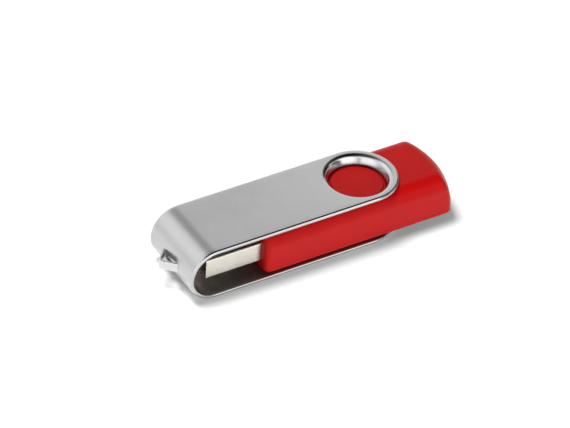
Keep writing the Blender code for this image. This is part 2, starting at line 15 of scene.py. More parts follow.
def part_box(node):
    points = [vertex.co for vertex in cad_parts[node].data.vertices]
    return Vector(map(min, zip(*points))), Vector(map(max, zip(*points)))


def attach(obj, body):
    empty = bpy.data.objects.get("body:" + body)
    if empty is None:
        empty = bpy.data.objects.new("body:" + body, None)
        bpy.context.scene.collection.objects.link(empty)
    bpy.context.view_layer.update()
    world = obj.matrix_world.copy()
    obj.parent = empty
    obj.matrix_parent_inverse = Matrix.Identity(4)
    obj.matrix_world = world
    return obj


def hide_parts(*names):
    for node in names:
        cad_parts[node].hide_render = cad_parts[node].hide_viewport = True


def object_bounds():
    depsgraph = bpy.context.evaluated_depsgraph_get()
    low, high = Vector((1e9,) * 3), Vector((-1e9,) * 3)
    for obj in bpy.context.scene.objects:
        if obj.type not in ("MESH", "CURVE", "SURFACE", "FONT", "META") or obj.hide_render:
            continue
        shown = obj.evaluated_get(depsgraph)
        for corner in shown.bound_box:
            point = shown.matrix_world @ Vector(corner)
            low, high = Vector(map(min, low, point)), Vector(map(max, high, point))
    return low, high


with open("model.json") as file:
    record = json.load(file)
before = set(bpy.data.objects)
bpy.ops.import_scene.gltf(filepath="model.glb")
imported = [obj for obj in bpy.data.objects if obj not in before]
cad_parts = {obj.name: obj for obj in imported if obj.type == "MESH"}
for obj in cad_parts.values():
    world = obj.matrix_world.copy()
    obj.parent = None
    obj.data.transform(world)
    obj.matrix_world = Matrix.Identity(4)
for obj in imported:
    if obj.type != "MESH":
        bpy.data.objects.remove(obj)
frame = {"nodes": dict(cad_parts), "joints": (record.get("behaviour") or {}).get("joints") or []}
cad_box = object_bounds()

MM = 0.001
PIVOT = Vector(frame["joints"][0]["pos_m"])


def from_pivot(corner):
    """A corner of a CAD box, in millimetres from the swivel axis."""
    return (corner - PIVOT) / MM


COVER_LOW, COVER_HIGH = map(from_pivot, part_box("swivel_cover"))
BODY_LOW, BODY_HIGH = map(from_pivot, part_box("lower_shell"))
PLUG_LOW, PLUG_HIGH = map(from_pivot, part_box("plug_shell"))

# Steel cover
COVER_HALF_WIDTH = COVER_HIGH.y
OUTER_Z = COVER_HIGH.z  # also the bend's outer radius
SHEET = 0.85
LEG_END_X = COVER_HIGH.x - COVER_HALF_WIDTH  # the middle of a leg's half-round end
LOOP_REACH = 2.4  # how far the key loop stands out past the bend
BEND_X = COVER_LOW.x + LOOP_REACH + OUTER_Z
BEND_LENGTH = math.pi * OUTER_Z
BLANK_LENGTH = BEND_LENGTH - 2 * BEND_X  # from one swivel hole to the other, laid flat
EDGE_ROLL = 0.5  # rounding on the outer side of the sheet's edges
INNER_EDGE_R = 0.34  # and on the inner side
COLLAR_HOLE_R = 5.5
COLLAR_DEPTH = 1.93
COLLAR_ANGLE = math.radians(64)  # of the drawn wall, from the leg's plane
COLLAR_FILLET = 1.2
COLLAR_WALL = 0.36
COLLAR_FIELD_R = 7.4  # where the collar ends and the leg's flat face starts
INNER_FIELD_R = COLLAR_FIELD_R + 0.25
INNER_FILLET_DEPTH = 0.3  # how far below the inner face the drawn wall's inner fillet starts
INNER_FILLET = ((0.12, 0.08), (0.35, 0.0))  # its other points: out from there, below the inner face
COLLAR_FIELD_X = 10.0  # where the collar's round mesh gives way to the leg's straight one

# Where the steel is polished, and where shade and a sheen are painted on it
POLISH_START = 0.3  # in from the collar's field
POLISH_FADE = 0.5
LIP_SHADE_START = 1.2  # down from the outer face, where painted shade starts to darken the collar's wall towards its lip
LIP_SHADE_FADE = 0.5
ROLLED_SHARE = 0.97  # how much of the rolled edge is polished
DULL_START = 0.2  # out from the collar's field, on the inner face
LEG_END_SHEEN_FADE = 28.0  # how far from a hole the leg's end is lighter, a painted sheen

# Key loop, and the slot that its strip was lanced from
SLOT_Z = (-1.22, -0.05)
SLOT_HALF_Y = 2.15
SLOT_ROUND = 0.15
ROUND_SHARES = (1.0, 0.6, 0.25, 0.0)  # where mesh lines cross the slot's rounding
LOOP_Z = (-1.17, 0.88)
LOOP_STRIP = 0.5
LOOP_EDGE_R = 0.16
LOOP_FOOT = ((0.55, -2.85), (0.15, -2.55), (-0.55, -1.95))  # half its route: X from the wall, and Y
LOOP_CREST = ((0.85, -1.2), (0.25, -0.6), (0.0, 0.0))  # the rest of that half: X from the crest, and Y

# Plastic body
BODY_HALF_WIDTH = BODY_HIGH.y
BODY_TOP_Z = -BODY_LOW.z
BODY_REAR_X = BODY_HIGH.x
REAR_ARC_R = 16.6
REAR_CORNER_R = 1.2
FRONT_CORNER_R = 1.2
CROWN_FOOT_Z = -3.3  # above this the rear curves in towards the top
CROWN_REAR = 4.05  # how far in it is at the top
SIDE_EDGE_R = 3.0  # rounding from the long sides to the top
CROWN_FRONT_R = 0.3  # the front face's top edge
LOWER_EDGE_R = 1.35
LOWER_FRONT_EDGE = 1.9  # how far the same edge reaches back from the front face
WALL = 1.1
PARTING = 0.005  # half the gap between the two shells
CAVITY_Z = 2.4
CAVITY_HALF_WIDTH = 6.5
CAVITY_REAR_X = 17.1
GROOVE_Z = 3.5
GROOVE_LOW_R = 6.35  # the groove's outer wall at its floor
GROOVE_HIGH_R = 6.95  # and at the body's top
GROOVE_FOOT = 0.15  # the flat corner between the groove's floor and its outer wall
BUTTON_R = 5.2
BUTTON_RIM = 0.2
BUTTON_Z = 3.9
MOUTH_GAP = 0.12  # between the plug and the opening it comes out of

# Plug
PLUG_SHEET = 0.3
PLUG_CORNER_R = 0.5
PLUG_BACK_X = -17.0  # where the sleeve ends and only its solder tabs go on
RIM_EASE = 0.07
RIM_MIDDLE = 0.3  # where the rim's rounding has its middle point, as a share of RIM_EASE
TAB_Z = (-1.7, -0.2)  # the tabs' lower and upper edges
WINDOW_X = 6.3  # from the plug's tip to the middle of a latch window
WINDOW_Y = 2.9
WINDOW_HALF = (1.2, 1.1)
WINDOW_CORNER_R = 0.15
DOVETAIL = ((0.0, 0.0), (6.6, 0.0), (6.9, 0.75), (8.3, 0.75), (8.6, 0.0))  # X from its start, and Y
DOVETAIL_PAST = 0.5  # how far before the tip the seam's line starts
PLUG_SEAM_END = 3.0  # how far the seam runs on inside the body
PLUG_SEAM_HALF = 0.025
PLUG_SEAM_DEPTH = 0.12

# Rounding on the edges of small parts
TONGUE_EASE = 0.12
CONTACT_EASE = 0.05
CRYSTAL_EASE = 0.2

PAST = 1.0  # how far cutting shapes reach past what they cut
TINY = 1e-6
SHARP_ANGLE = 40  # edges that turn by more degrees than this stay sharp
SHEET_SHARP_ANGLE = 50  # the same on the steel and on eased edges


# ---------------------------------------------------------------- mesh helpers


class Skin:
    """Points and faces of one piece. Points with the same coordinates are one point."""

    def __init__(self):
        self.index = {}
        self.points = []
        self.faces = []

    def point(self, place):
        """The number of a point, which is added if it is new."""
        key = tuple(round(value, 4) for value in place)
        if key not in self.index:
            self.index[key] = len(self.points)
            self.points.append(place)
        return self.index[key]

    def face(self, places):
        """A face over some places, unless they come down to fewer than three points."""
        corners = []
        for place in places:
            number = self.point(place)
            if number not in corners:
                corners.append(number)
        if len(corners) > 2:
            self.faces.append(corners)

    def strip(self, row, other):
        """Quads between two rows of points."""
        for i in range(len(row) - 1):
            self.face((row[i], row[i + 1], other[i + 1], other[i]))

    def loop(self, ring, other):
        """Quads between two closed rings of points."""
        self.strip(ring + ring[:1], other + other[:1])

    def sheet(self, rows):
        """Quads between each row of points and the next."""
        for row, other in zip(rows, rows[1:]):
            self.strip(row, other)

    def tube(self, rings, capped=False):
        """Quads between each closed ring and the next, and a face over each end if capped."""
        for ring, other in zip(rings, rings[1:]):
            self.loop(ring, other)
        if capped:
            self.face(rings[0])
            self.face(rings[-1])


def shade(data, sharp_angle=SHARP_ANGLE):
    """Smooth shading that leaves sharp edges sharp."""
    data.shade_smooth()
    data.set_sharp_from_angle(angle=math.radians(sharp_angle))


def shade_cut(piece):
    """Shading for a piece that was cut: its large flat faces stay flat up to their roundings."""
    shade(piece.data)
    even = piece.modifiers.new("even_normals", "WEIGHTED_NORMAL")
    even.keep_sharp = True


def add_piece(name, skin, body, shape=None, sharp_angle=SHARP_ANGLE):
    """A piece from a skin in millimetres round the swivel axis, riding on a CAD body."""
    data = bpy.data.meshes.new(name)
    places = [shape(p) if shape else p for p in skin.points]
    data.from_pydata([PIVOT + Vector(p) * MM for p in places], [], skin.faces)
    mesh = bmesh.new()
    mesh.from_mesh(data)
    bmesh.ops.recalc_face_normals(mesh, faces=mesh.faces)
    mesh.to_mesh(data)
    mesh.free()
    shade(data, sharp_angle)
    made = bpy.data.objects.new(name, data)
    bpy.context.scene.collection.objects.link(made)
    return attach(made, body)


def cut(target, skins):
    """Takes solid shapes out of a piece for good."""
    for number, skin in enumerate(skins):
        tool = add_piece(f"{target.name}_cutter_{number}", skin, "drive")
        change = target.modifiers.new("cut", "BOOLEAN")
        change.operation = "DIFFERENCE"
        change.solver = "EXACT"
        change.object = tool
        apply_modifiers(target)
        bpy.data.objects.remove(tool)


def apply_modifiers(target):
    """Writes what the modifiers make into the mesh."""
    graph = bpy.context.evaluated_depsgraph_get()
    made = bpy.data.meshes.new_from_object(target.evaluated_get(graph))
    target.modifiers.clear()
    target.data = made


def arc(centre, radius, start, end, steps):
    """Points on a circular arc, in degrees, both ends included."""
    turn = [math.radians(start + (end - start) * i / steps) for i in range(steps + 1)]
    return [(centre[0] + radius * math.cos(a), centre[1] + radius * math.sin(a)) for a in turn]


def spread(low, high, steps):
    """Evenly spaced values, both ends included."""
    return [low + (high - low) * i / steps for i in range(steps + 1)]


def upright(point, z):
    """Puts a plan's point at a height."""
    return (point[0], point[1], z)


def lengthwise(point, x):
    """Puts a cross-section's point at a place along X."""
    return (x, point[0], point[1])


def prism_skin(outline, low, high, place=upright):
    """A closed solid between two copies of an outline, which place(point, level) puts in space."""
    skin = Skin()
    skin.tube([[place(p, level) for p in outline] for level in (low, high)], capped=True)
    return skin


# ---------------------------------------------------------------- steel cover


def folded(place):
    """Where a point of the flat blank lies once the blank is folded into a U.

    s runs along the blank from the upper swivel hole, v across it, d down from its outer face.
    """
    s, v, d = place
    radius = OUTER_Z - d
    past = s + BEND_X
    if past <= 0:
        return (-s, v, radius)
    if past >= BEND_LENGTH:
        return (BEND_X + past - BEND_LENGTH, v, -radius)
    turn = past / OUTER_Z
    return (BEND_X - radius * math.sin(turn), v, radius * math.cos(turn))


def collar_profile():
    """The drawn collar's section as (radius, depth).

    It runs from the sheet's outer face down the drawn wall, round the lip and back to the inner face.
    """
    corner_r = COLLAR_HOLE_R + COLLAR_DEPTH / math.tan(COLLAR_ANGLE)
    tangent = COLLAR_FILLET * math.tan(COLLAR_ANGLE / 2)
    lean = math.degrees(COLLAR_ANGLE)
    outside = arc((corner_r + tangent, COLLAR_FILLET), COLLAR_FILLET, 270, 270 - lean, steps=12)
    lip_r = COLLAR_WALL / 2
    along = Vector((-math.cos(COLLAR_ANGLE), math.sin(COLLAR_ANGLE)))
    across = Vector((math.sin(COLLAR_ANGLE), math.cos(COLLAR_ANGLE)))
    lip_edge = Vector((COLLAR_HOLE_R, COLLAR_DEPTH)) - along * lip_r
    lip_centre = lip_edge + across * lip_r
    start = Vector(outside[-1])
    cone = [tuple(start.lerp(lip_edge, t)) for t in (0.33, 0.67, 1.0)]
    lip = []
    for turn in spread(0, math.pi, steps=8)[1:]:
        lip.append(tuple(lip_centre - across * lip_r * math.cos(turn) + along * lip_r * math.sin(turn)))
    back = Vector(lip[-1])
    shoulder = back - along * ((back.y - SHEET - INNER_FILLET_DEPTH) / math.sin(COLLAR_ANGLE))
    inside = [tuple(shoulder)] + [(shoulder.x + out, SHEET + down) for out, down in INNER_FILLET]
    return [(COLLAR_FIELD_R, 0.0)] + outside + cone + lip + inside + [(INNER_FIELD_R, SHEET)]


def slot_fall(s, v):
    """How far the outer face drops where it rounds over into the key loop's slot."""
    low_s, high_s = slot_span()
    out_s = max(low_s - s, s - high_s, 0.0)
    out_v = max(abs(v) - SLOT_HALF_Y, 0.0)
    away = SLOT_ROUND - min(math.hypot(out_s, out_v), SLOT_ROUND)
    return SLOT_ROUND - math.sqrt(SLOT_ROUND**2 - away**2)


def slot_span():
    """The slot's two long edges along the blank."""
    return [OUTER_Z * math.acos(z / OUTER_Z) - BEND_X for z in (SLOT_Z[1], SLOT_Z[0])]


def stations_across(half):
    """Lines across the blank, closer together where the slot's ends round over."""
    near = [SLOT_HALF_Y + SLOT_ROUND * share for share in ROUND_SHARES]
    side = spread(half, near[0], steps=6)[:-1] + near
    middle = spread(SLOT_HALF_Y, -SLOT_HALF_Y, steps=8)[1:-1]
    return side + middle + [-value for value in reversed(side)]


def stations_along():
    """Lines along the blank between the two collars' fields."""
    low_s, high_s = slot_span()
    before = [low_s - SLOT_ROUND * share for share in ROUND_SHARES]
    after = [high_s + SLOT_ROUND * share for share in reversed(ROUND_SHARES)]
    upper_leg = spread(COLLAR_FIELD_X, -BEND_X, steps=12)[:-1]
    bend_in = spread(-BEND_X, before[0], steps=20)[:-1]
    slot = spread(low_s, high_s, steps=6)[1:-1]
    bend_out = spread(after[-1], BLANK_LENGTH + BEND_X, steps=20)[1:]
    lower_leg = spread(BLANK_LENGTH + BEND_X, BLANK_LENGTH - COLLAR_FIELD_X, steps=12)[1:]
    return upper_leg + bend_in + before + slot + after + bend_out + lower_leg


def leg_end_outline(half):
    """Half-circle and straight sides round one hole, as (p towards the leg's end, q across)."""
    end = arc((LEG_END_X, 0), half, -90, 90, steps=64)
    upper = [(p, half) for p in spread(LEG_END_X, -COLLAR_FIELD_X, steps=14)[1:]]
    lower = [(p, -q) for p, q in reversed(upper)]
    return lower + end + upper


def blank_places(leg, points, depth):
    """Points round one hole, put on the blank at a depth: leg 0 is the upper one, leg 1 the lower."""
    if leg == 0:
        return [(-p, q, depth) for p, q in points]
    return [(BLANK_LENGTH + p, q, depth) for p, q in points]


def on_circle(radius, turns):
    """Points at some angles on a circle round a hole."""
    return [(radius * math.cos(turn), radius * math.sin(turn)) for turn in turns]


def add_leg_end(skin, leg):
    """The leg's round end: the drawn collar, both faces round it and the rolled outer edge."""
    half = COVER_HALF_WIDTH - EDGE_ROLL
    open_side = leg_end_outline(half)
    around = open_side + [(-COLLAR_FIELD_X, v) for v in stations_across(half)[1:-1]]
    turns = [math.atan2(q, p) for p, q in around]
    profile = collar_profile()
    skin.tube([blank_places(leg, on_circle(radius, turns), depth) for radius, depth in profile])
    for depth, field_r in ((0.0, profile[0][0]), (SHEET, profile[-1][0])):
        inner = on_circle(field_r, turns)
        rings = [inner]
        for share in (0.5, 1.0):  # half way out, and at the edge of the leg's end
            pairs = zip(inner, around)
            rings.append([(x + (p - x) * share, y + (q - y) * share) for (x, y), (p, q) in pairs])
        skin.tube([blank_places(leg, ring, depth) for ring in rings])
    outward = [Vector((max(p - LEG_END_X, 0.0), q)).normalized() for p, q in open_side]
    rows = []
    for inset, depth in edge_section():
        grow = EDGE_ROLL - inset
        moved = [(p + n.x * grow, q + n.y * grow) for (p, q), n in zip(open_side, outward)]
        rows.append(blank_places(leg, moved, depth))
    skin.sheet(rows)


def edge_section():
    """The sheet's outer edge as (inset, depth): a roll-over, and a smaller rounding to the inner face."""
    section = arc((EDGE_ROLL, EDGE_ROLL), EDGE_ROLL, 270, 180, steps=6)
    section += arc((INNER_EDGE_R, SHEET - INNER_EDGE_R), INNER_EDGE_R, 180, 90, steps=5)
    return section + [(EDGE_ROLL, SHEET)]


def add_straight_run(skin):
    """The legs between the collars and the bend, with the slot left open in the bend."""
    across = stations_across(COVER_HALF_WIDTH - EDGE_ROLL)
    along = stations_along()
    low_s, high_s = slot_span()
    for s, after in zip(along, along[1:]):
        for v, beside in zip(across, across[1:]):
            middle_s, middle_v = (s + after) / 2, (v + beside) / 2
            if low_s < middle_s < high_s and abs(middle_v) < SLOT_HALF_Y:
                continue
            corners = ((s, v), (after, v), (after, beside), (s, beside))
            skin.face([(a, b, slot_fall(a, b)) for a, b in corners])
            skin.face([(a, b, SHEET) for a, b in corners])
    for side in (1, -1):
        rows = []
        for inset, depth in edge_section():
            rows.append([(s, side * (COVER_HALF_WIDTH - inset), depth) for s in along])
        skin.sheet(rows)
    rim = slot_rim(along, across)
    skin.loop([(s, v, slot_fall(s, v)) for s, v in rim], [(s, v, SHEET) for s, v in rim])


def slot_rim(along, across):
    """The slot's edge, as a closed ring through the mesh's lines."""
    low_s, high_s = slot_span()
    lengths = [s for s in along if low_s - TINY <= s <= high_s + TINY]
    widths = [v for v in across if abs(v) <= SLOT_HALF_Y + TINY]
    rim = [(s, SLOT_HALF_Y) for s in lengths]
    rim += [(lengths[-1], v) for v in widths[1:]]
    rim += [(s, -SLOT_HALF_Y) for s in reversed(lengths[:-1])]
    return rim + [(lengths[0], v) for v in reversed(widths[1:-1])]


def make_cover():
    """The folded cover with its two collars and its key loop."""
    skin = Skin()
    add_leg_end(skin, 0)
    add_straight_run(skin)
    add_leg_end(skin, 1)
    cover = add_piece("folded_cover", skin, "cover", folded, SHEET_SHARP_ANGLE)
    mark_finish_and_painted_light(cover, skin)
    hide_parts("swivel_cover")
    loop = add_piece("key_loop", loop_skin(), "cover", sharp_angle=SHEET_SHARP_ANGLE)
    return cover, loop


def ramp(value, start, width):
    """0 up to a start, and from there evenly up to 1 over a width."""
    return min(max((value - start) / width, 0.0), 1.0)


def mark_finish_and_painted_light(cover, skin):
    """Per-point masks: polished collars, painted shade down to their lips, polished edges, dull inner
    face, and a painted sheen on the leg ends.
    """
    masks = {"collar": [], "lip": [], "polish": [], "inner_face": [], "leg_end": []}
    for s, v, d in skin.points:
        away = min(math.hypot(s, v), math.hypot(s - BLANK_LENGTH, v))
        collar = ramp(COLLAR_FIELD_R - away, POLISH_START, POLISH_FADE)
        rolled = abs(v) > COVER_HALF_WIDTH - EDGE_ROLL * ROLLED_SHARE and d < SHEET
        inside = d >= SHEET - TINY and away > COLLAR_FIELD_R + DULL_START
        masks["collar"].append(collar)
        # painted shade, darker down the collar's wall towards its lip
        masks["lip"].append(ramp(d, LIP_SHADE_START, LIP_SHADE_FADE))
        masks["polish"].append(max(collar, float(rolled)))
        masks["inner_face"].append(float(inside))
        # painted sheen, lighter towards each hole
        masks["leg_end"].append(ramp(LEG_END_SHEEN_FADE - away, 0.0, LEG_END_SHEEN_FADE))
    for name, values in masks.items():
        cover.data.attributes.new(name, "FLOAT", "POINT")
        cover.data.attributes[name].data.foreach_set("value", values)


def loop_path():
    """The key loop's centre line seen from above, from inside the bend's wall and back into it."""
    crest = COVER_LOW.x + LOOP_STRIP / 2
    wall = COVER_LOW.x + LOOP_REACH
    keys = [(wall + x, y) for x, y in LOOP_FOOT] + [(crest + x, y) for x, y in LOOP_CREST]
    keys += [(x, -y) for x, y in reversed(keys[:-1])]
    return smooth_line(keys, steps=5)


def smooth_line(keys, steps):
    """A Catmull-Rom line through key points."""
    padded = [keys[0]] + keys + [keys[-1]]
    line = []
    for i in range(1, len(padded) - 2):
        a, b, c, d = (Vector(p) for p in padded[i - 1 : i + 3])
        for step in range(steps):
            t = step / steps
            square = (2 * a - 5 * b + 4 * c - d) * t**2
            cube = (3 * b - 3 * c + d - a) * t**3
            line.append(0.5 * (2 * b + (c - a) * t + square + cube))
    return line + [Vector(keys[-1])]


def loop_skin():
    """The strip of the key loop, a rounded rectangle swept along its path."""
    path = loop_path()
    half_height = (LOOP_Z[1] - LOOP_Z[0]) / 2
    middle_z = (LOOP_Z[1] + LOOP_Z[0]) / 2
    section = rounded_rectangle(LOOP_STRIP / 2, half_height, LOOP_EDGE_R, steps=4)
    rings = []
    for i, spot in enumerate(path):
        ahead = (path[min(i + 1, len(path) - 1)] - path[max(i - 1, 0)]).normalized()
        side = Vector((ahead.y, -ahead.x))
        rings.append([(spot.x + side.x * a, spot.y + side.y * a, middle_z + b) for a, b in section])
    skin = Skin()
    skin.tube(rings, capped=True)
    return skin


def rounded_rectangle(half_width, half_height, radius, steps):
    """Outline of a rectangle with round corners, centred on the axis."""
    x, y = half_width - radius, half_height - radius
    corners = (((x, y), 0), ((-x, y), 90), ((-x, -y), 180), ((x, -y), 270))
    outline = []
    for centre, start in corners:
        outline += arc(centre, radius, start, start + 90, steps)
    return outline


# ---------------------------------------------------------------- plastic body


def body_outline(side_inset, rear_inset, front_inset):
    """Plan of the body, drawn in by insets: straight sides, flat front, arched rear."""
    side = BODY_HALF_WIDTH - side_inset
    arc_centre_x = BODY_REAR_X - rear_inset - REAR_ARC_R
    corner_y = side - REAR_CORNER_R
    reach = REAR_ARC_R - REAR_CORNER_R
    corner_x = arc_centre_x + math.sqrt(reach**2 - corner_y**2)
    lean = math.degrees(math.asin(corner_y / reach))
    front_x = BODY_LOW.x + front_inset + FRONT_CORNER_R
    half = arc((arc_centre_x, 0), REAR_ARC_R, 0, lean, steps=18)[:-1]
    half += arc((corner_x, corner_y), REAR_CORNER_R, lean, 90, steps=8)
    half += [(x, side) for x in spread(corner_x, front_x, steps=24)[1:-1]]
    half += arc((front_x, side - FRONT_CORNER_R), FRONT_CORNER_R, 90, 180, steps=6)
    half += [(BODY_LOW.x + front_inset, y) for y in spread(side - FRONT_CORNER_R, 0, steps=5)[1:]]
    return half + [(x, -y) for x, y in reversed(half[1:-1])]


def crowned_ring(z):
    """The body's outline at a height above its rounded lower edge, as 3D points."""
    climb = max(z - CROWN_FOOT_Z, 0.0) / (BODY_TOP_Z - CROWN_FOOT_Z)
    rear_inset = CROWN_REAR * (1 - math.sqrt(max(1 - climb**2, 0.0)))
    outline = body_outline(rounding_inset(z, SIDE_EDGE_R), rear_inset, rounding_inset(z, CROWN_FRONT_R))
    return [(x, y, z) for x, y in outline]


def rounding_inset(z, radius):
    """How far a rounded top edge is in from its side at a height."""
    rise = max(z - BODY_TOP_Z + radius, 0.0)
    return radius - math.sqrt(max(radius**2 - rise**2, 0.0))


def upper_rings():
    """Outlines up the upper half, from the parting plane to the top."""
    foot = BODY_TOP_Z - SIDE_EDGE_R
    levels = spread(PARTING, foot, steps=6)[:-1]
    levels += [z for _, z in arc((0, foot), SIDE_EDGE_R, 0, 90, steps=24)]
    return [crowned_ring(z) for z in levels]


def lower_rings():
    """Outlines down the lower half, from the parting plane to the underside."""
    rings = [crowned_ring(z) for z in spread(-PARTING, CROWN_FOOT_Z, steps=8)]
    shoulder = BODY_TOP_Z - LOWER_EDGE_R
    for x, z in arc((0, 0), LOWER_EDGE_R, 0, 90, steps=14):
        inset = LOWER_EDGE_R - x
        outline = body_outline(inset, inset, inset * LOWER_FRONT_EDGE / LOWER_EDGE_R)
        rings.append([(x, y, -shoulder - z) for x, y in outline])
    return rings


def shell_skin(side):
    """One half of the body as a closed solid: side 1 is the upper half, -1 the lower."""
    skin = Skin()
    rings = upper_rings() if side > 0 else lower_rings()
    skin.tube(rings)
    skin.face(rings[-1])
    inner = body_outline(BODY_HALF_WIDTH - CAVITY_HALF_WIDTH, BODY_REAR_X - CAVITY_REAR_X, WALL)
    room = [[(x, y, side * z) for x, y in inner] for z in (PARTING, CAVITY_Z)]
    skin.loop(rings[0], room[0])
    skin.loop(room[0], room[1])
    skin.face(room[1])
    return skin


def collar_pocket_skin(side):
    """The space cut for a collar: a ring groove round the button, and the room above both."""
    top_r = BUTTON_R - BUTTON_RIM
    profile = [(top_r, BUTTON_Z)] + arc((top_r, BUTTON_Z - BUTTON_RIM), BUTTON_RIM, 75, 0, steps=5)
    profile += [(BUTTON_R, GROOVE_Z), (GROOVE_LOW_R - GROOVE_FOOT, GROOVE_Z)]
    profile += [(GROOVE_LOW_R, GROOVE_Z + GROOVE_FOOT)]
    slope = (GROOVE_HIGH_R - GROOVE_LOW_R) / (BODY_TOP_Z - GROOVE_Z)
    past_z = BODY_TOP_Z + PAST
    profile += [(GROOVE_LOW_R + slope * (past_z - GROOVE_Z), past_z)]
    rings = []
    for radius, z in profile:
        rings.append([(x, y, side * z) for x, y in arc((0, 0), radius, 0, 360, steps=96)[:-1]])
    skin = Skin()
    skin.tube(rings, capped=True)
    return skin


def mouth_skin():
    """The way through the front wall for the plug."""
    half_width, half_height = PLUG_HIGH.y + MOUTH_GAP, PLUG_HIGH.z + MOUTH_GAP
    outline = rounded_rectangle(half_width, half_height, PLUG_CORNER_R + MOUTH_GAP, steps=4)
    return prism_skin(outline, BODY_LOW.x - WALL, BODY_LOW.x + 2 * WALL, lengthwise)


def make_body():
    """The two half shells."""
    made = []
    for name, side in (("upper_shell", 1), ("lower_shell", -1)):
        shell = add_piece(f"{name}_moulding", shell_skin(side), "drive")
        cut(shell, [mouth_skin(), collar_pocket_skin(side)])
        shade_cut(shell)
        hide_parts(name)
        shell.visible_diffuse = False  # keeps its red off the paper
        made.append(shell)
    return made


# ---------------------------------------------------------------- plug


def sleeve_skin():
    """The plug's sleeve, with a softened front rim."""
    width, height, radius = PLUG_HIGH.y, PLUG_HIGH.z, PLUG_CORNER_R
    front, back = PLUG_LOW.x, PLUG_HIGH.x
    middle = RIM_EASE * RIM_MIDDLE
    stations = [(front, RIM_EASE), (front + middle, middle), (front + RIM_EASE, 0.0), (back, 0.0)]
    stations += [(back, PLUG_SHEET), (front + RIM_EASE, PLUG_SHEET)]
    stations += [(front + middle, PLUG_SHEET - middle), (front, PLUG_SHEET - RIM_EASE)]
    rings = []
    for x, inset in stations:
        outline = rounded_rectangle(width - inset, height - inset, radius - inset, steps=5)
        rings.append([(x, y, z) for y, z in outline])
    skin = Skin()
    skin.tube(rings + rings[:1])
    return skin


def block_skin(low, high):
    """A plain block between two corners."""
    outline = [(low[0], low[1]), (high[0], low[1]), (high[0], high[1]), (low[0], high[1])]
    return prism_skin(outline, low[2], high[2])


def window_skin(y, side):
    """One latch window, with softened corners, through the sleeve's upper or lower wall."""
    corners = rounded_rectangle(*WINDOW_HALF, WINDOW_CORNER_R, steps=3)
    outline = [(x + PLUG_LOW.x + WINDOW_X, v + y) for x, v in corners]
    low, high = sorted((side * (PLUG_HIGH.z - PAST), side * (PLUG_HIGH.z + PAST)))
    return prism_skin(outline, low, high)


def seam_skin():
    """The dovetailed seam where the sleeve's ends meet, a fine line along its underside."""
    line = [(PLUG_LOW.x - DOVETAIL_PAST + x, y) for x, y in DOVETAIL]
    line += [(BODY_LOW.x + PLUG_SEAM_END, 0.0)]
    outline = [(x, y + PLUG_SEAM_HALF) for x, y in line]
    outline += [(x, y - PLUG_SEAM_HALF) for x, y in reversed(line)]
    return prism_skin(outline, -PLUG_HIGH.z - PAST, -PLUG_HIGH.z + PLUG_SEAM_DEPTH)


def make_plug():
    """The sleeve with its windows, seam and solder tabs."""
    sleeve = add_piece("plug_sleeve", sleeve_skin(), "drive")
    wide, past_x = PLUG_HIGH.y + PAST, PLUG_HIGH.x + PAST
    holes = [window_skin(y, side) for y in (-WINDOW_Y, WINDOW_Y) for side in (1, -1)]
    past_tabs = [
        block_skin((PLUG_BACK_X, -wide, TAB_Z[1]), (past_x, wide, PLUG_HIGH.z + PAST)),
        block_skin((PLUG_BACK_X, -wide, PLUG_LOW.z - PAST), (past_x, wide, TAB_Z[0])),
    ]
    cut(sleeve, holes + [seam_skin()] + past_tabs)
    shade_cut(sleeve)
    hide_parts("plug_shell")
    return sleeve


# ---------------------------------------------------------------- materials

NOISE_RANGE = (0.3, 0.7)  # where most of a noise's values lie


def feed(links, socket, value):
    """Gives a socket its value: another socket's, or a constant."""
    if hasattr(value, "is_linked"):
        links.new(value, socket)
    else:
        socket.default_value = value


